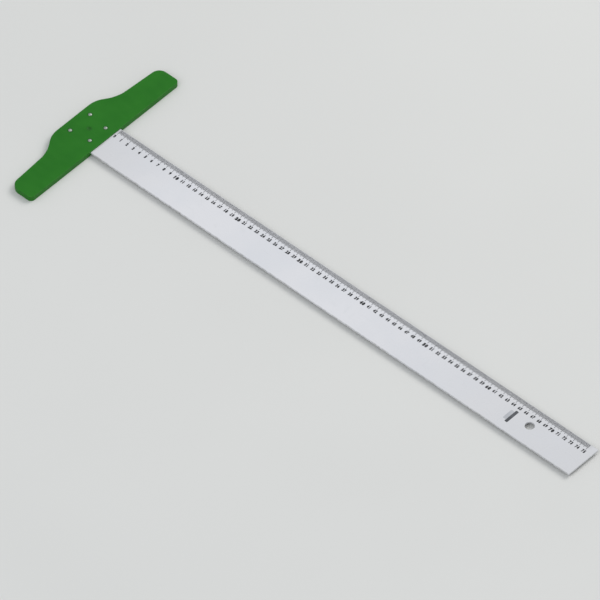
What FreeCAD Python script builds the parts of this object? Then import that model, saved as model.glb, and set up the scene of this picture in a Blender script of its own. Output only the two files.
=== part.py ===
import FreeCAD, Part
import math
import os

# A 75 cm T-square: a flat white plastic blade with its tang riveted between the two
# green plastic halves of a head.
#
# Frame, in millimetres: X runs along the blade, away from the head; Y runs along the
# head, towards the blade's graduated edge; Z is up. The origin is the middle of the
# head's working edge, in the plane of the blade's underside, which lies on the paper.

Vector = FreeCAD.Vector
UP = Vector(0, 0, 1)

# Blade
BLADE_REACH = 764.5            # from the working edge to the square end
BLADE_WIDTH = 52.5
BLADE_THICKNESS = 2.5
BLADE_END_RADIUS = 1.0
BLADE_EDGE_BREAK = 0.3
TANG_LENGTH = 50.0             # the part of the blade held inside the head
TANG_END_RADIUS = 2.0
HANG_HOLE_RADIUS = 6.0
HANG_HOLE_X = 679.6

# Head outline, seen from above: a broad middle with a slimmer arm on each side
HEAD_LENGTH = 260.0
HEAD_WIDTH = 53.7
SHOULDER_Y = 37.6              # corner where the broad middle ends
SHOULDER_RADIUS = 32.0
NECK_WIDTH = 37.5              # corner where the arm begins
NECK_Y = 62.1
NECK_RADIUS = 50.0
TIP_WIDTH = 33.2
TIP_BACK_RADIUS = 12.0
TIP_FRONT_RADIUS = 6.0

# Head halves, stacked with the blade between them
COVER_THICKNESS = 2.0
BASE_DEPTH = 3.0               # how far the base reaches below the blade
COVER_TOP_FILLET = 0.7
BASE_BOTTOM_FILLET = 0.6
SEAM_BREAK = 0.2               # makes a fine V groove where the two halves meet
SEAT_CLEARANCE = 0.1
GATE_MARK_X = -27.0            # shallow mark left by the moulding gate
GATE_MARK_RADIUS = 2.4
GATE_MARK_DEPTH = 0.5

# Pegs moulded on the base's arms, which locate the cover
PEG_RADIUS = 2.0
PEG_HEIGHT = 1.2
PEG_CLEARANCE = 0.05
PEG_CENTRES = [(-19.5, 66.0), (-17.0, 112.0)]

# Rivets, from the middle of the head outwards
FRONT_RIVET = (-13.0, 13.8)
BACK_RIVET = (-41.7, 17.5)
SHANK_RADIUS = 1.5
SHANK_CLEARANCE = 0.05
RIVET_HEAD_RADIUS = 2.4
RIVET_HEAD_HEIGHT = 1.1
RIVET_TAIL_RADIUS = 2.4
RIVET_TAIL_HEIGHT = 0.8
TAIL_HOLLOW_RADIUS = 0.8
TAIL_HOLLOW_DEPTH = 1.6
WASHER_RADIUS = 3.9
WASHER_THICKNESS = 0.5
RECESS_RADIUS = 4.3
RECESS_DEPTH = 1.7

# Levels worked out from the sizes above
BLADE_TOP = BLADE_THICKNESS
COVER_TOP = BLADE_TOP + COVER_THICKNESS
BASE_BOTTOM = -BASE_DEPTH
RECESS_TOP = BASE_BOTTOM + RECESS_DEPTH
WASHER_BOTTOM = RECESS_TOP - WASHER_THICKNESS

RIVET_PLACES = {
    "front_right": (FRONT_RIVET[0], FRONT_RIVET[1]),
    "front_left": (FRONT_RIVET[0], -FRONT_RIVET[1]),
    "back_right": (BACK_RIVET[0], BACK_RIVET[1]),
    "back_left": (BACK_RIVET[0], -BACK_RIVET[1]),
}


def rounded_outline(corners):
    """A closed wire through (x, y, radius) corners, each one rounded to its radius."""
    points = [Vector(x, y, 0) for x, y, radius in corners]
    next_points = points[1:] + points[:1]
    arcs = []
    for i, corner in enumerate(points):
        radius = corners[i][2]
        before = (points[i - 1] - corner).normalize()
        after = (next_points[i] - corner).normalize()
        half_angle = before.getAngle(after) / 2
        setback = radius / math.tan(half_angle)
        inward = (before + after).normalize()
        middle = corner + inward * (radius / math.sin(half_angle) - radius)
        arcs.append(Part.Arc(corner + before * setback, middle, corner + after * setback))
    edges = []
    for arc, next_arc in zip(arcs, arcs[1:] + arcs[:1]):
        edges.append(arc.toShape())
        edges.append(Part.LineSegment(arc.EndPoint, next_arc.StartPoint).toShape())
    return Part.Wire(edges)


def plate(outline, bottom, top):
    """A flat plate with this outline between two levels."""
    face = Part.Face(outline)
    face.translate(UP * bottom)
    return face.extrude(UP * (top - bottom))


def edges_at(solid, level):
    """The edges that lie wholly in the plane at this level."""
    return [
        edge
        for edge in solid.Edges
        if abs(edge.BoundBox.ZMin - level) < 1e-6 and abs(edge.BoundBox.ZMax - level) < 1e-6
    ]


def hole(x, y, radius, bottom, top):
    return Part.makeCylinder(radius, top - bottom, Vector(x, y, bottom), UP)


def rivet_holes(bottom, top):
    """The four shank holes between two levels, as one cutting tool."""
    radius = SHANK_RADIUS + SHANK_CLEARANCE
    holes = [hole(x, y, radius, bottom, top) for x, y in RIVET_PLACES.values()]
    return Part.makeCompound(holes)


def peg_places():
    """The peg centres on both arms."""
    return [(x, side * y) for x, y in PEG_CENTRES for side in (1, -1)]


def head_outline():
    """The outline that both halves of the head share."""
    half = HEAD_LENGTH / 2
    one_arm = [
        (-HEAD_WIDTH, SHOULDER_Y, SHOULDER_RADIUS),
        (-NECK_WIDTH, NECK_Y, NECK_RADIUS),
        (-TIP_WIDTH, half, TIP_BACK_RADIUS),
        (0, half, TIP_FRONT_RADIUS),
    ]
    other_arm = [(x, -y, radius) for x, y, radius in reversed(one_arm)]
    return rounded_outline(one_arm + other_arm)


def blade_outline(tang_end, half_width, far_end, far_radius):
    """The blade's straight-sided outline, also used, slightly larger, for its seat."""
    return rounded_outline(
        [
            (tang_end, half_width, TANG_END_RADIUS),
            (far_end, half_width, far_radius),
            (far_end, -half_width, far_radius),
            (tang_end, -half_width, TANG_END_RADIUS),
        ]
    )


def hang_hole_cutter():
    """The hang hole, opened out a little at both faces of the blade."""
    wide = HANG_HOLE_RADIUS + BLADE_EDGE_BREAK
    centre = Vector(HANG_HOLE_X, 0, 0)
    through = hole(HANG_HOLE_X, 0, HANG_HOLE_RADIUS, 0, BLADE_TOP)
    lower_break = Part.makeCone(wide, HANG_HOLE_RADIUS, BLADE_EDGE_BREAK, centre, UP)
    upper_start = centre + UP * (BLADE_TOP - BLADE_EDGE_BREAK)
    upper_break = Part.makeCone(HANG_HOLE_RADIUS, wide, BLADE_EDGE_BREAK, upper_start, UP)
    return through.fuse([lower_break, upper_break])


def make_blade():
    outline = blade_outline(-TANG_LENGTH, BLADE_WIDTH / 2, BLADE_REACH, BLADE_END_RADIUS)
    blade = plate(outline, 0, BLADE_TOP)
    rims = edges_at(blade, 0) + edges_at(blade, BLADE_TOP)
    blade = blade.makeChamfer(BLADE_EDGE_BREAK, rims)
    blade = blade.cut(rivet_holes(0, BLADE_TOP))
    return blade.cut(hang_hole_cutter())


def ball_radius(rim_radius, rise):
    """The radius of the ball whose cap has this rim radius and rise."""
    return (rim_radius**2 + rise**2) / (2 * rise)


def gate_mark():
    """A shallow dish in the cover's top, cut as the tip of a ball."""
    radius = ball_radius(GATE_MARK_RADIUS, GATE_MARK_DEPTH)
    centre = Vector(GATE_MARK_X, 0, COVER_TOP - GATE_MARK_DEPTH + radius)
    return Part.makeSphere(radius, centre)


def make_head_cover():
    cover = plate(head_outline(), BLADE_TOP, COVER_TOP)
    cover = cover.makeFillet(COVER_TOP_FILLET, edges_at(cover, COVER_TOP))
    cover = cover.makeChamfer(SEAM_BREAK, edges_at(cover, BLADE_TOP))
    cover = cover.cut(rivet_holes(BLADE_TOP, COVER_TOP))
    socket_radius = PEG_RADIUS + PEG_CLEARANCE
    socket_top = BLADE_TOP + PEG_HEIGHT + PEG_CLEARANCE
    for x, y in peg_places():
        cover = cover.cut(hole(x, y, socket_radius, BLADE_TOP, socket_top))
    return cover.cut(gate_mark())


def make_head_base():
    base = plate(head_outline(), BASE_BOTTOM, BLADE_TOP)
    base = base.makeFillet(BASE_BOTTOM_FILLET, edges_at(base, BASE_BOTTOM))
    base = base.makeChamfer(SEAM_BREAK, edges_at(base, BLADE_TOP))
    seat_end = -TANG_LENGTH - SEAT_CLEARANCE
    seat_half_width = BLADE_WIDTH / 2 + SEAT_CLEARANCE
    past_front = 2 * TANG_END_RADIUS
    seat = blade_outline(seat_end, seat_half_width, past_front, BLADE_END_RADIUS)
    base = base.cut(plate(seat, 0, BLADE_TOP))
    base = base.cut(rivet_holes(BASE_BOTTOM, 0))
    for x, y in RIVET_PLACES.values():
        base = base.cut(hole(x, y, RECESS_RADIUS, BASE_BOTTOM, RECESS_TOP))
    for x, y in peg_places():
        base = base.fuse(hole(x, y, PEG_RADIUS, BLADE_TOP, BLADE_TOP + PEG_HEIGHT))
    return base


def lines_through(points):
    """Straight edges from each point to the next."""
    return [Part.LineSegment(a, b).toShape() for a, b in zip(points, points[1:])]


def make_rivet(x, y):
    """A domed rivet: its head on the cover, its hollow tail rolled over the washer."""
    dome_radius = ball_radius(RIVET_HEAD_RADIUS, RIVET_HEAD_HEIGHT)
    dome_centre = COVER_TOP + RIVET_HEAD_HEIGHT - dome_radius
    half_sweep = math.asin(RIVET_HEAD_RADIUS / dome_radius) / 2
    tail_bottom = WASHER_BOTTOM - RIVET_TAIL_HEIGHT
    lip_radius = (RIVET_TAIL_RADIUS + TAIL_HOLLOW_RADIUS) / 2
    roll_width = RIVET_TAIL_RADIUS - lip_radius
    diagonal = math.sqrt(0.5)

    # Points of the half profile, going down from the top of the dome
    top = Vector(0, 0, COVER_TOP + RIVET_HEAD_HEIGHT)
    dome_side = Vector(
        dome_radius * math.sin(half_sweep), 0, dome_centre + dome_radius * math.cos(half_sweep)
    )
    head_rim = Vector(RIVET_HEAD_RADIUS, 0, COVER_TOP)
    shank_top = Vector(SHANK_RADIUS, 0, COVER_TOP)
    shank_end = Vector(SHANK_RADIUS, 0, WASHER_BOTTOM)
    tail_rim = Vector(RIVET_TAIL_RADIUS, 0, WASHER_BOTTOM)
    tail_side = Vector(
        lip_radius + roll_width * diagonal, 0, WASHER_BOTTOM - RIVET_TAIL_HEIGHT * diagonal
    )
    tail_lip = Vector(lip_radius, 0, tail_bottom)
    hollow_rim = Vector(TAIL_HOLLOW_RADIUS, 0, tail_bottom + RIVET_TAIL_HEIGHT / 2)
    hollow_end = Vector(TAIL_HOLLOW_RADIUS, 0, tail_bottom + TAIL_HOLLOW_DEPTH)
    hollow_middle = Vector(0, 0, tail_bottom + TAIL_HOLLOW_DEPTH)

    straight_run = [tail_lip, hollow_rim, hollow_end, hollow_middle, top]
    edges = [
        Part.Arc(top, dome_side, head_rim).toShape(),
        *lines_through([head_rim, shank_top, shank_end, tail_rim]),
        Part.Arc(tail_rim, tail_side, tail_lip).toShape(),
        *lines_through(straight_run),
    ]
    rivet = Part.Face(Part.Wire(edges)).revolve(Vector(0, 0, 0), UP, 360)
    rivet.translate(Vector(x, y, 0))
    return rivet


def make_washer(x, y):
    ring = hole(x, y, WASHER_RADIUS, WASHER_BOTTOM, RECESS_TOP)
    return ring.cut(hole(x, y, SHANK_RADIUS + SHANK_CLEARANCE, WASHER_BOTTOM, RECESS_TOP))


def main():
    nodes = {
        "blade": make_blade(),
        "head_cover": make_head_cover(),
        "head_base": make_head_base(),
    }
    for place, (x, y) in RIVET_PLACES.items():
        nodes["rivet_" + place] = make_rivet(x, y)
        nodes["washer_" + place] = make_washer(x, y)
    os.makedirs("parts", exist_ok=True)
    for name, shape in nodes.items():
        shape.exportStep("parts/" + name + ".step")
        solids = len(shape.Solids)
        print(name, "valid", shape.isValid(), "solids", solids, "volume", round(shape.Volume, 1))


main()
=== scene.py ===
"""Looks of the 75 cm T-square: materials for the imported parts, and the printed scale on the blade.

The scale is ink and not a CAD part, so it is made here, as thin closed solids on the blade's
printed face. Its sizes are in millimetres; Blender's own units are metres.
"""

import math

import bmesh
import bpy
from mathutils import Matrix, Vector
from mathutils.geometry import delaunay_2d_cdt


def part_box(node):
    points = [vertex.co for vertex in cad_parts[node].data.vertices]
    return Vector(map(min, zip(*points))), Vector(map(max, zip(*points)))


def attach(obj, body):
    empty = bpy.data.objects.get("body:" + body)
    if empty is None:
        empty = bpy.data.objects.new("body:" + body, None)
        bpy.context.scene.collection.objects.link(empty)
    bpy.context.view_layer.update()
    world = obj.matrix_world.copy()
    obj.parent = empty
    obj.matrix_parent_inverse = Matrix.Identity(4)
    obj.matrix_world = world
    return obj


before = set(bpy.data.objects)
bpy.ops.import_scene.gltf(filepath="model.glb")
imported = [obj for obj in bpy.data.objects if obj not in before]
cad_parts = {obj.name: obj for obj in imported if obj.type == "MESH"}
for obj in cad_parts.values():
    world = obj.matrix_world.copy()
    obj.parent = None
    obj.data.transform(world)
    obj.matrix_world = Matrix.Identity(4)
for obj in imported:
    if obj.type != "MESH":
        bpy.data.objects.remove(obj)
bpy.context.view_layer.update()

MM = 0.001

# Camera: the square lies on the floor and is seen through a very long lens. In degrees and metres.
CAMERA_AZIMUTH = 42.432
CAMERA_ELEVATION = 47.438
CAMERA_LENS = 1000.0                      # in millimetres, as Blender's lens is
CAMERA_DISTANCE = 19.7133
CAMERA_AIM = Vector((0.34365, -0.03237, 0.0))
CAMERA_CLIP = (0.1, 100.0)

# Stage, in metres, watts and linear colours
FLOOR_REACH = 50.0
FLOOR_SEGMENTS = 8
SKY_COLOUR = (0.93, 0.96, 1.0, 1.0)
SKY_STRENGTH = 0.6
LIGHT_AIM = Vector((0.33, 0.0, 0.0))
KEY_PLACE = Vector((0.9, 3.1, 2.7))
KEY_SIZE = (2.6, 2.0)
KEY_POWER = 84.0
KEY_COLOUR = (1.0, 0.985, 0.96)
FILL_PLACE = Vector((0.2, -2.6, 2.4))
FILL_SIZE = (2.0, 2.0)
FILL_POWER = 28.0
FILL_COLOUR = (0.95, 0.97, 1.0)

# Ink, in millimetres from the blade's printed face
INK_PROUD = 0.03
INK_SUNK = 0.02
STROKE_CORNER = 0.35                      # how much of a stroke's half width its corners lose

# Ticks along the graduated edge, in millimetres, by the step of the scale that they mark
SCALE_ZERO = 3.0                          # from the head's working edge
SCALE_LENGTH = 750
TICK_START_GAP = 0.8
TICK_LENGTHS = {1: 5.9, 5: 7.4, 10: 9.0}
TICK_WIDTHS = {1: 0.42, 5: 0.45, 10: 0.5}

# Numerals, in millimetres unless a comment says otherwise. Every tenth one from 10 on is bolder
# and further in.
NUMERAL_GAP = 13.5                        # from the graduated edge to their centres
NUMERAL_HEIGHT = 5.1
NUMERAL_SQUEEZE = 0.7                     # width over the font's own width
NUMERAL_WEIGHT = 0.078                    # how far a stroke's side is moved out, in font units
TENS_GAP = 14.05
TENS_HEIGHT = 5.4
TENS_SQUEEZE = 0.86
TENS_WEIGHT = 0.095
DIGIT_PITCH = 0.78                        # share of the height times the squeeze
DIGIT_RESOLUTION = 4
DIGITS = "0123456789"
WELD = 1e-3                               # in font units; corners nearer than this are one
FLAT_ANGLE = math.radians(1)

# Plain marks that stand in for the lettering beside the hang hole, in millimetres
BAR_FROM_END = 110.4
BAR_WIDTH = 4.2
BAR_LENGTH = 21.6
STRIP_FROM_END = 115.1
STRIP_WIDTH = 5.0
STRIP_LENGTH = 16.0
MARKS_CENTRE_Y = -3.4

_, blade_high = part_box("blade")
cover_low, cover_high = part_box("head_cover")
base_low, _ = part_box("head_base")
RIVETS = [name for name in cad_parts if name.startswith("rivet_")]
WASHERS = [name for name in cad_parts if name.startswith("washer_")]
INK_BOTTOM = blade_high.z - INK_SUNK * MM
INK_TOP = blade_high.z + INK_PROUD * MM


def srgb(red, green, blue):
    """A colour given as 0 to 255 display values, as Blender's linear colour."""

    def linear(value):
        value /= 255
        if value <= 0.04045:
            return value / 12.92
        return ((value + 0.055) / 1.055) ** 2.4

    return (linear(red), linear(green), linear(blue), 1.0)


class Nodes:
    """Builds one material's node tree. Masks are 1 where their mark is and 0 elsewhere."""

    def __init__(self, name):
        self.material = bpy.data.materials.new(name)
        self.material.use_nodes = True
        self.tree = self.material.node_tree
        self.tree.nodes.clear()
        self.shader = self.add("ShaderNodeBsdfPrincipled")
        output = self.add("ShaderNodeOutputMaterial")
        self.link(self.shader.outputs["BSDF"], output.inputs["Surface"])
        self.place = self.add("ShaderNodeTexCoord")

    def add(self, kind, **settings):
        made = self.tree.nodes.new(kind)
        for key, value in settings.items():
            setattr(made, key, value)
        return made

    def link(self, source, target):
        self.tree.links.new(source, target)

    def feed(self, socket, value):
        """Links the value to the socket, or sets it there if it is a plain number or colour."""
        if isinstance(value, bpy.types.NodeSocket):
            self.link(value, socket)
        else:
            socket.default_value = value

    def moved(self, source, scale, turn=0.0):
        """The coordinates scaled, then turned about Z by so many degrees."""
        made = self.add("ShaderNodeMapping")
        self.link(source, made.inputs["Vector"])
        made.inputs["Rotation"].default_value = (0, 0, math.radians(turn))
        made.inputs["Scale"].default_value = scale
        return made.outputs["Vector"]

    def noise(self, source, scale, detail=3.0, rough=0.55, distortion=0.0):
        made = self.add("ShaderNodeTexNoise")
        self.link(source, made.inputs["Vector"])
        made.inputs["Scale"].default_value = scale
        made.inputs["Detail"].default_value = detail
        made.inputs["Roughness"].default_value = rough
        made.inputs["Distortion"].default_value = distortion
        return made.outputs["Fac"]

    def cells(self, source, scale):
        made = self.add("ShaderNodeTexVoronoi")
        self.link(source, made.inputs["Vector"])
        made.inputs["Scale"].default_value = scale
        return made.outputs["Distance"]

    def span(self, value, low, high, to_low=0.0, to_high=1.0):
        """Goes smoothly from to_low to to_high as the value goes from low to high."""
        made = self.add("ShaderNodeMapRange", interpolation_type="SMOOTHSTEP")
        self.link(value, made.inputs["Value"])
        ends = {"From Min": low, "From Max": high, "To Min": to_low, "To Max": to_high}
        for name, number in ends.items():
            made.inputs[name].default_value = number
        return made.outputs["Result"]

    def fall(self, value, low, high):
        """Goes smoothly from 1 to 0 as the value goes from low to high."""
        return self.span(value, low, high, to_low=1.0, to_high=0.0)

    def math(self, operation, first, second=0.0):
        made = self.add("ShaderNodeMath", operation=operation)
        self.feed(made.inputs[0], first)
        self.feed(made.inputs[1], second)
        return made.outputs["Value"]

    def times(self, first, second):
        return self.math("MULTIPLY", first, second)

    def either(self, first, second):
        """The larger of two masks."""
        return self.math("MAXIMUM", first, second)

    def mix(self, factor, first, second):
        made = self.add("ShaderNodeMix", data_type="RGBA")
        self.feed(made.inputs["Factor"], factor)
        self.feed(made.inputs["A"], first)
        self.feed(made.inputs["B"], second)
        return made.outputs["Result"]

    def tinted(self, colour, mask, share, tint):
        """The colour, turned towards the tint by the share where the mask is 1."""
        return self.mix(self.times(mask, share), colour, tint)

    def raised(self, value, mask, amount):
        """The value, plus the amount where the mask is 1."""
        return self.math("ADD", value, self.times(mask, amount))

    def axes(self, source):
        made = self.add("ShaderNodeSeparateXYZ")
        self.link(source, made.inputs["Vector"])
        return made.outputs["X"], made.outputs["Y"], made.outputs["Z"]

    def distance_to(self, source, point):
        """Distance from the axis that runs through the point along Z."""
        made = self.add("ShaderNodeVectorMath", operation="DISTANCE")
        self.link(self.moved(source, (1, 1, 0)), made.inputs[0])
        made.inputs[1].default_value = (point[0], point[1], 0.0)
        return made.outputs["Value"]

    def bump(self, height, strength, depth, under=None):
        made = self.add("ShaderNodeBump")
        made.inputs["Strength"].default_value = strength
        made.inputs["Distance"].default_value = depth
        self.link(height, made.inputs["Height"])
        if under is not None:
            self.link(under, made.inputs["Normal"])
        return made.outputs["Normal"]

    def dent(self, mask, strength, depth, under):
        """A bump that goes into the surface."""
        return self.bump(self.times(mask, -1.0), strength, depth, under)

    def finish(self, colour, roughness, normal, **uniform):
        """Links the three to the shader and sets its uniform values, named with _ for a space."""
        self.link(colour, self.shader.inputs["Base Color"])
        self.link(roughness, self.shader.inputs["Roughness"])
        self.link(normal, self.shader.inputs["Normal"])
        for name, value in uniform.items():
            self.shader.inputs[name.replace("_", " ")].default_value = value
        return self.material


def scratches(n, source, turn, along, across, low, high):
    """A mask of thin broken streaks that run at an angle of turn degrees."""
    streaks = n.noise(n.moved(source, (along, across, 1.0), turn), 1.0, detail=2.0)
    breaks = n.noise(n.moved(source, (7.0, 7.0, 7.0), turn), 3.0, detail=2.0)
    return n.times(n.span(streaks, low, high), n.span(breaks, 0.45, 0.6))


def blade_dirt(n, place, along, across):
    """A mask of the dirt at the blade's long edges and in the corner at the head."""
    edge_band = 1.3 * MM
    corner_start = 0.2 * MM
    corner_end = 2.6 * MM
    from_middle = n.math("ABSOLUTE", across)
    edge = n.span(from_middle, blade_high.y - edge_band, blade_high.y)
    edge = n.times(edge, n.span(n.noise(place, 240.0), 0.35, 0.7))
    corner = n.fall(along, corner_start, corner_end)
    corner = n.times(corner, n.span(n.noise(place, 330.0), 0.3, 0.75))
    return n.either(edge, corner)


def blade_graphite(n, smudges, along, across):
    """A mask of the pencil dust that gathers along the ticks."""
    band_start = blade_high.y - 8.5 * MM
    band_end = blade_high.y - 4.5 * MM
    band = n.span(across, band_start, band_end)
    band = n.times(band, n.fall(along, 752 * MM, 760 * MM))
    return n.times(band, n.span(smudges, 0.25, 0.7, to_low=0.55))


def blade_handling(n, clouds, along):
    """A mask of painted shade along the blade: darker towards its far end and close to the head, lightest in
    between, broken up by the clouds.
    """
    far_end_shade = n.span(along, 380 * MM, 760 * MM, to_high=0.62)
    near_head_shade = n.span(along, 0, 130 * MM, to_low=0.55, to_high=0.0)
    painted_gradient_mask = n.math("ADD", far_end_shade, near_head_shade)
    return n.times(painted_gradient_mask, n.span(clouds, 0.3, 0.6, to_low=0.7))


def blade_material():
    """Opaque cool white plastic, semi-gloss, with scratches, smudges, specks, pencil dust and dirt, and
    painted shade that darkens it towards its far end and near the head.
    """
    white = srgb(217, 218, 222)
    bright_white = srgb(222, 222, 225)
    smudged = srgb(207, 209, 212)
    speck = srgb(168, 167, 163)
    # Painted shade: the grey the blade turns towards its far end and near the head.
    gradient_shade = srgb(203, 203, 204)
    scratched = srgb(190, 192, 196)
    pencil = srgb(150, 151, 152)
    grime_and_painted_shade = srgb(158, 157, 152)

    n = Nodes("blade_white_plastic")
    place = n.place.outputs["Object"]
    along, across, _ = n.axes(place)
    clouds = n.noise(place, 9.0)
    smudges = n.noise(place, 55.0, detail=4.0, rough=0.6, distortion=0.6)
    specks = n.noise(place, 900.0, detail=1.0)
    drag = scratches(n, place, turn=0.0, along=9.0, across=1500.0, low=0.66, high=0.72)
    cross = scratches(n, place, turn=17.0, along=16.0, across=1100.0, low=0.68, high=0.73)
    back_cross = scratches(n, place, turn=-31.0, along=20.0, across=1200.0, low=0.69, high=0.74)
    worn = n.either(drag, n.either(cross, back_cross))
    dirt = blade_dirt(n, place, along, across)

    colour = n.mix(n.span(clouds, 0.35, 0.65), white, bright_white)
    colour = n.mix(n.span(smudges, 0.56, 0.8, to_high=0.35), colour, smudged)
    colour = n.mix(n.span(specks, 0.74, 0.8, to_high=0.5), colour, speck)
    # Painted shade: darker towards the far end and near the head.
    colour = n.mix(blade_handling(n, clouds, along), colour, gradient_shade)
    colour = n.tinted(colour, worn, 0.35, scratched)
    colour = n.tinted(colour, blade_graphite(n, smudges, along, across), 0.3, pencil)
    colour = n.tinted(colour, dirt, 0.5, grime_and_painted_shade)

    gloss = n.span(smudges, 0.3, 0.75, to_low=0.24, to_high=0.38)
    gloss = n.raised(gloss, worn, 0.2)
    gloss = n.raised(gloss, dirt, 0.25)

    normal = n.bump(n.noise(place, 38.0, detail=2.0), 0.25, 0.25 * MM)
    normal = n.bump(n.noise(place, 2600.0, detail=2.0), 0.12, 0.02 * MM, normal)
    normal = n.dent(worn, 0.5, 0.02 * MM, normal)
    return n.finish(colour, gloss, normal, IOR=1.49, Specular_IOR_Level=0.35)


def rivet_grime(n, place, smudges):
    """A mask of painted shade on the head: a dark ring round each rivet's own head, broken up by the smudges.
    """
    reach = 1.8 * MM
    grime_and_painted_shade = None
    for name in RIVETS:
        low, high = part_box(name)
        rim = (high.x - low.x) / 2
        ring = n.fall(n.distance_to(place, (low + high) / 2), rim, rim + reach)
        grime_and_painted_shade = ring if grime_and_painted_shade is None else n.either(grime_and_painted_shade, ring)
    return n.times(grime_and_painted_shade, n.span(smudges, 0.2, 0.7, to_low=0.5))


def head_material():
    """Green moulded plastic: fine spark-eroded grain, flow marks round the gate, worn rim."""
    green = srgb(27, 106, 16)
    bright_green = srgb(33, 112, 20)
    flow_green = srgb(44, 122, 30)
    smudged = srgb(24, 94, 18)
    scuffed = srgb(78, 144, 62)
    rubbed = srgb(84, 150, 66)
    # Painted shade: the dark green of the rings round the rivets.
    grime_and_painted_shade = srgb(14, 52, 12)
    gate_shade = srgb(12, 48, 10)

    n = Nodes("head_green_plastic")
    place = n.place.outputs["Object"]
    _, _, facing_up = n.axes(n.place.outputs["Normal"])
    clouds = n.noise(place, 26.0, rough=0.5, distortion=0.4)
    smudges = n.noise(place, 120.0, detail=4.0, rough=0.6, distortion=0.5)
    gate = ((cover_low.x + cover_high.x) / 2, 0.0)
    from_gate = n.distance_to(place, gate)
    flow = n.math("SINE", n.math("ADD", n.times(from_gate, 420.0), n.times(clouds, 5.0)))
    in_gate = n.times(n.fall(from_gate, 1.4 * MM, 5.0 * MM), n.span(facing_up, 0.4, 0.7))

    long_scuffs = scratches(n, place, turn=90.0, along=14.0, across=900.0, low=0.66, high=0.73)
    cross_scuffs = scratches(n, place, turn=63.0, along=22.0, across=800.0, low=0.68, high=0.74)
    scuffs = n.either(long_scuffs, cross_scuffs)
    rim = n.times(n.span(facing_up, 0.2, 0.6), n.fall(facing_up, 0.8, 0.97))
    rim_wear = n.times(rim, n.span(n.noise(place, 170.0, detail=4.0, rough=0.65), 0.42, 0.68))

    colour = n.mix(n.span(clouds, 0.3, 0.7), green, bright_green)
    colour = n.mix(n.span(flow, -1.0, 1.0, to_high=0.08), colour, flow_green)
    colour = n.mix(n.span(smudges, 0.55, 0.8, to_high=0.3), colour, smudged)
    colour = n.tinted(colour, scuffs, 0.2, scuffed)
    colour = n.tinted(colour, rim_wear, 0.3, rubbed)
    # Painted shade in a ring on the head round each rivet.
    colour = n.tinted(colour, rivet_grime(n, place, smudges), 0.55, grime_and_painted_shade)
    colour = n.tinted(colour, in_gate, 0.4, gate_shade)

    gloss = n.span(smudges, 0.25, 0.75, to_low=0.36, to_high=0.5)
    gloss = n.math("ADD", gloss, n.span(flow, -1.0, 1.0, to_high=0.04))
    gloss = n.raised(gloss, scuffs, 0.15)

    normal = n.bump(n.noise(place, 60.0, detail=2.0), 0.3, 0.3 * MM)
    normal = n.bump(n.cells(place, 1100.0), 0.18, 0.05 * MM, normal)
    normal = n.bump(n.noise(place, 1500.0, rough=0.6), 0.2, 0.04 * MM, normal)
    normal = n.dent(scuffs, 0.4, 0.02 * MM, normal)
    return n.finish(colour, gloss, normal, IOR=1.5, Specular_IOR_Level=0.22)


def metal_material(name, light, dark, smooth, rough, rings):
    """Turned or pressed metal: fine rings round the piece's own axis, with grime at its rim."""
    grime_and_painted_shade = srgb(92, 94, 90)
    own_middle = (0.5, 0.5)

    n = Nodes(name)
    place = n.place.outputs["Object"]
    reach = n.distance_to(n.place.outputs["Generated"], own_middle)
    wobble = n.noise(place, 900.0, detail=2.0)
    turned = n.math("SINE", n.math("ADD", n.times(reach, rings), n.times(wobble, 3.0)))
    stain = n.noise(place, 700.0, detail=4.0, rough=0.6, distortion=0.5)
    rim = n.span(reach, 0.4, 0.5)
    marks = scratches(n, place, turn=35.0, along=60.0, across=4200.0, low=0.62, high=0.7)

    colour = n.mix(n.span(stain, 0.4, 0.75, to_high=0.55), light, dark)
    colour = n.mix(n.span(turned, -1.0, 1.0, to_high=0.15), colour, dark)
    colour = n.tinted(colour, rim, 0.6, grime_and_painted_shade)
    gloss = n.raised(n.span(stain, 0.3, 0.75, smooth, rough), rim, 0.15)
    normal = n.dent(marks, 0.5, 0.01 * MM, n.bump(turned, 0.15, 0.01 * MM))
    return n.finish(colour, gloss, normal, Metallic=1.0)


def ink_material(name, dark, pale, bare, bare_share):
    """Screen-printed ink that thins from dark to pale, with pores where the bare blade shows."""
    n = Nodes(name)
    place = n.place.outputs["Object"]
    density = n.noise(place, 120.0, rough=0.6)
    pores = n.noise(place, 5200.0, detail=2.0)
    colour = n.mix(n.span(density, 0.35, 0.75), dark, pale)
    colour = n.mix(n.span(pores, 0.6, 0.74, to_high=bare_share), colour, bare)
    gloss = n.span(density, 0.3, 0.7, to_low=0.4, to_high=0.55)
    normal = n.bump(pores, 0.3, 0.008 * MM)
    return n.finish(colour, gloss, normal, IOR=1.5, Specular_IOR_Level=0.3)


def floor_material():
    """Plain pale matt floor."""
    pale = srgb(215, 215, 212)
    paler = srgb(218, 218, 215)
    n = Nodes("pale_floor")
    place = n.place.outputs["Object"]
    clouds = n.noise(place, 1.5)
    colour = n.mix(n.span(clouds, 0.3, 0.7), pale, paler)
    gloss = n.span(clouds, 0.3, 0.7, to_low=0.75, to_high=0.85)
    normal = n.bump(n.noise(place, 900.0, detail=2.0), 0.05, 0.1 * MM)
    return n.finish(colour, gloss, normal)


def dress(node, material):
    """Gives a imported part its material."""
    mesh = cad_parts[node].data
    mesh.materials.clear()
    mesh.materials.append(material)


def piece_from(bm, name, material):
    """Turns a bmesh into a named piece that rides on the root body."""
    bmesh.ops.recalc_face_normals(bm, faces=bm.faces)
    mesh = bpy.data.meshes.new(name)
    bm.to_mesh(mesh)
    bm.free()
    mesh.materials.append(material)
    made = bpy.data.objects.new(name, mesh)
    bpy.context.scene.collection.objects.link(made)
    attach(made, "root")


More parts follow.
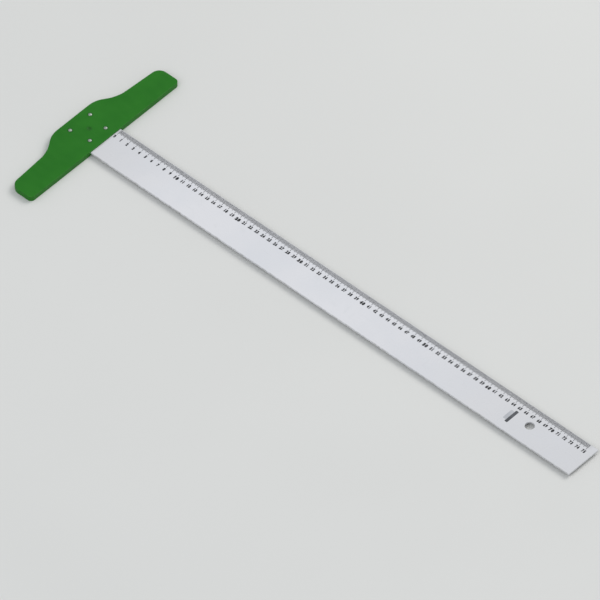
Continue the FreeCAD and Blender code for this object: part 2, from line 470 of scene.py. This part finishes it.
def add_stroke(bm, centre_x, centre_y, width, length):
    """A printed stroke along Y with its corners cut, as a thin closed solid. In millimetres."""
    half_w = width * MM / 2
    half_l = length * MM / 2
    cut = min(half_w, half_l) * STROKE_CORNER
    outline = [
        (half_w, -half_l + cut),
        (half_w, half_l - cut),
        (half_w - cut, half_l),
        (-half_w + cut, half_l),
        (-half_w, half_l - cut),
        (-half_w, -half_l + cut),
        (-half_w + cut, -half_l),
        (half_w - cut, -half_l),
    ]
    places = [(centre_x * MM + x, centre_y * MM + y) for x, y in outline]
    low = [bm.verts.new((x, y, INK_BOTTOM)) for x, y in places]
    high = [bm.verts.new((x, y, INK_TOP)) for x, y in places]
    bm.faces.new(high)
    bm.faces.new(low[::-1])
    for i in range(len(outline)):
        j = (i + 1) % len(outline)
        bm.faces.new((low[i], low[j], high[j], high[i]))


def tick_step(millimetre):
    """The largest step of the scale, 10, 5 or 1 mm, that has a tick at this millimetre."""
    return next(step for step in sorted(TICK_LENGTHS, reverse=True) if millimetre % step == 0)


def make_ticks(name, step, ink):
    """All ticks of one step."""
    bm = bmesh.new()
    length = TICK_LENGTHS[step]
    centre_y = blade_high.y / MM - TICK_START_GAP - length / 2
    for millimetre in range(SCALE_LENGTH + 1):
        if tick_step(millimetre) == step:
            add_stroke(bm, SCALE_ZERO + millimetre, centre_y, TICK_WIDTHS[step], length)
    piece_from(bm, name, ink)


def digit_outline(digit):
    """The outline of a digit as points and edges, which run anticlockwise round the ink."""
    text = bpy.data.curves.new("digit_text", "FONT")
    text.body = digit
    text.fill_mode = "NONE"
    text.resolution_u = DIGIT_RESOLUTION
    holder = bpy.data.objects.new("digit_text", text)
    bpy.context.scene.collection.objects.link(holder)
    graph = bpy.context.evaluated_depsgraph_get()
    mesh = bpy.data.meshes.new_from_object(holder.evaluated_get(graph), depsgraph=graph)
    points = [vertex.co.xy for vertex in mesh.vertices]
    edges = [tuple(edge.vertices) for edge in mesh.edges]
    bpy.data.objects.remove(holder)
    bpy.data.curves.remove(text)
    bpy.data.meshes.remove(mesh)
    if sum(points[start].cross(points[end]) for start, end in edges) < 0:
        edges = [(end, start) for start, end in edges]
    return points, edges


def bolder(points, edges, weight):
    """The same outline moved out by the weight. It crosses itself at its inner corners."""
    ahead = dict(edges)
    behind = {end: start for start, end in edges}
    moved = []
    corners = {}
    for here in ahead:
        arriving = (points[here] - points[behind[here]]).normalized()
        leaving = (points[ahead[here]] - points[here]).normalized()
        out_arriving = Vector((arriving.y, -arriving.x)) * weight
        out_leaving = Vector((leaving.y, -leaving.x)) * weight
        if arriving.cross(leaving) > 0:
            corner = [points[here] + (out_arriving + out_leaving) / (1 + arriving.dot(leaving))]
        else:
            corner = [points[here] + out_arriving, points[here], points[here] + out_leaving]
        corners[here] = range(len(moved), len(moved) + len(corner))
        moved += corner
    joined = [(corners[start][-1], corners[end][0]) for start, end in edges]
    joined += [pair for corner in corners.values() for pair in zip(corner, corner[1:])]
    return moved, joined


def turns_round(point, points, edges):
    """How often the edges run round a point anticlockwise: more than 0 is inside the ink."""
    turns = 0
    for first, second in edges:
        start = points[first]
        end = points[second]
        side = (end - start).cross(point - start)
        if start.y <= point.y < end.y and side > 0:
            turns += 1
        if end.y <= point.y < start.y and side < 0:
            turns -= 1
    return turns


def inked_triangles(points, edges):
    """The inside of an outline, which may cross itself, as corner points and triangles."""
    triangles_of_whole_hull = 0
    spots, _, triangles, *_ = delaunay_2d_cdt(points, edges, [], triangles_of_whole_hull, WELD)
    inked = []
    for triangle in triangles:
        centre = sum((spots[i] for i in triangle), Vector((0, 0))) / 3
        if turns_round(centre, points, edges) > 0:
            inked.append(triangle)
    return spots, inked


def digit_mesh(digit, weight):
    """One digit as a closed slab, 1 high and centred on the origin, as thick as the ink."""
    points, edges = bolder(*digit_outline(digit), weight)
    spots, triangles = inked_triangles(points, edges)
    xs = [point.x for point in points]
    ys = [point.y for point in points]
    middle = Vector((max(xs) + min(xs), max(ys) + min(ys))) / 2
    height = max(ys) - min(ys)
    bm = bmesh.new()
    corners = [bm.verts.new(((spot - middle) / height).to_3d()) for spot in spots]
    for triangle in triangles:
        bm.faces.new([corners[i] for i in triangle])
    outside = [vertex for vertex in bm.verts if not vertex.link_faces]
    bmesh.ops.delete(bm, geom=outside, context="VERTS")
    bmesh.ops.remove_doubles(bm, verts=bm.verts, dist=WELD)
    bmesh.ops.dissolve_limit(bm, angle_limit=FLAT_ANGLE, verts=bm.verts, edges=bm.edges)
    bmesh.ops.translate(bm, verts=bm.verts, vec=(0, 0, INK_BOTTOM))
    raised = bmesh.ops.extrude_face_region(bm, geom=bm.faces)["geom"]
    tops = [item for item in raised if isinstance(item, bmesh.types.BMVert)]
    bmesh.ops.translate(bm, verts=tops, vec=(0, 0, INK_TOP - INK_BOTTOM))
    mesh = bpy.data.meshes.new("digit")
    bm.to_mesh(mesh)
    bm.free()
    return mesh


def make_numerals(name, numbers, gap, height, squeeze, weight, ink):
    """The numerals of these numbers, each one centred on its own centimetre line."""
    bm = bmesh.new()
    digits = {digit: digit_mesh(digit, weight) for digit in DIGITS}
    pitch = DIGIT_PITCH * height * squeeze
    line = blade_high.y - gap * MM
    size = Matrix.Diagonal((height * squeeze * MM, height * MM, 1.0, 1.0))
    for number in numbers:
        written = str(number)
        start = SCALE_ZERO + 10 * number - pitch * (len(written) - 1) / 2
        for i, digit in enumerate(written):
            mesh = digits[digit].copy()
            mesh.transform(Matrix.Translation(((start + i * pitch) * MM, line, 0.0)) @ size)
            bm.from_mesh(mesh)
            bpy.data.meshes.remove(mesh)
    for mesh in digits.values():
        bpy.data.meshes.remove(mesh)
    piece_from(bm, name, ink)


def make_mark(name, from_end, width, length, ink):
    """A plain bar across the blade, so many millimetres from the blade's end."""
    bm = bmesh.new()
    add_stroke(bm, blade_high.x / MM - from_end, MARKS_CENTRE_Y, width, length)
    piece_from(bm, name, ink)


def make_softbox(name, place, size, power, colour):
    """A soft rectangular light, which the camera doesn't see."""
    light = bpy.data.lights.new(name, "AREA")
    light.shape = "RECTANGLE"
    light.size, light.size_y = size
    light.energy = power
    light.color = colour
    made = bpy.data.objects.new(name, light)
    made.location = place
    made.rotation_mode = "QUATERNION"
    made.rotation_quaternion = (LIGHT_AIM - place).to_track_quat("-Z", "Y")
    made.visible_camera = False
    bpy.context.scene.collection.objects.link(made)


def make_floor():
    bm = bmesh.new()
    bmesh.ops.create_grid(bm, x_segments=FLOOR_SEGMENTS, y_segments=FLOOR_SEGMENTS, size=FLOOR_REACH)
    mesh = bpy.data.meshes.new("floor")
    bm.to_mesh(mesh)
    bm.free()
    mesh.materials.append(floor_material())
    floor = bpy.data.objects.new("floor", mesh)
    floor.location = (0.0, 0.0, base_low.z)
    bpy.context.scene.collection.objects.link(floor)


def make_sky():
    """An even, slightly cool light from all round."""
    world = bpy.data.worlds.new("studio")
    world.use_nodes = True
    background = world.node_tree.nodes["Background"]
    background.inputs["Color"].default_value = SKY_COLOUR
    background.inputs["Strength"].default_value = SKY_STRENGTH
    bpy.context.scene.world = world
    bpy.context.scene.view_settings.view_transform = "Standard"


def make_camera():
    turn = math.radians(CAMERA_AZIMUTH)
    lift = math.radians(CAMERA_ELEVATION)
    back = Vector((math.sin(turn) * math.cos(lift), -math.cos(turn) * math.cos(lift), math.sin(lift)))
    data = bpy.data.cameras.new("camera")
    data.lens = CAMERA_LENS
    data.clip_start, data.clip_end = CAMERA_CLIP
    camera = bpy.data.objects.new("camera", data)
    camera.location = CAMERA_AIM + back * CAMERA_DISTANCE
    camera.rotation_mode = "QUATERNION"
    camera.rotation_quaternion = (-back).to_track_quat("-Z", "Y")
    bpy.context.scene.collection.objects.link(camera)
    bpy.context.scene.camera = camera


dress("blade", blade_material())
head_green = head_material()
dress("head_cover", head_green)
dress("head_base", head_green)
aluminium = metal_material("rivet_aluminium", srgb(172, 181, 172), srgb(122, 133, 122), 0.48, 0.6, rings=70.0)
for node in RIVETS:
    dress(node, aluminium)
steel = metal_material("washer_steel", srgb(196, 196, 194), srgb(140, 139, 136), 0.28, 0.45, rings=110.0)
for node in WASHERS:
    dress(node, steel)

black = ink_material("scale_ink", srgb(17, 18, 20), srgb(32, 34, 37), srgb(96, 99, 104), 0.4)
make_ticks("scale_ticks_millimetres", 1, black)
make_ticks("scale_ticks_fives", 5, black)
make_ticks("scale_ticks_centimetres", 10, black)
last = SCALE_LENGTH // 10
tens = range(10, last + 1, 10)
others = [number for number in range(last + 1) if number not in tens]
make_numerals("scale_numerals", others, NUMERAL_GAP, NUMERAL_HEIGHT, NUMERAL_SQUEEZE, NUMERAL_WEIGHT, black)
make_numerals("scale_numerals_tens", tens, TENS_GAP, TENS_HEIGHT, TENS_SQUEEZE, TENS_WEIGHT, black)

grey = ink_material("bar_ink", srgb(72, 74, 77), srgb(95, 97, 101), srgb(142, 145, 150), 0.6)
faint = ink_material("strip_ink", srgb(177, 179, 183), srgb(192, 194, 198), srgb(215, 217, 220), 0.6)
make_mark("plain_bar", BAR_FROM_END, BAR_WIDTH, BAR_LENGTH, grey)
make_mark("plain_strip", STRIP_FROM_END, STRIP_WIDTH, STRIP_LENGTH, faint)

make_floor()
make_sky()
make_softbox("key", KEY_PLACE, KEY_SIZE, KEY_POWER, KEY_COLOUR)
make_softbox("fill", FILL_PLACE, FILL_SIZE, FILL_POWER, FILL_COLOUR)
make_camera()
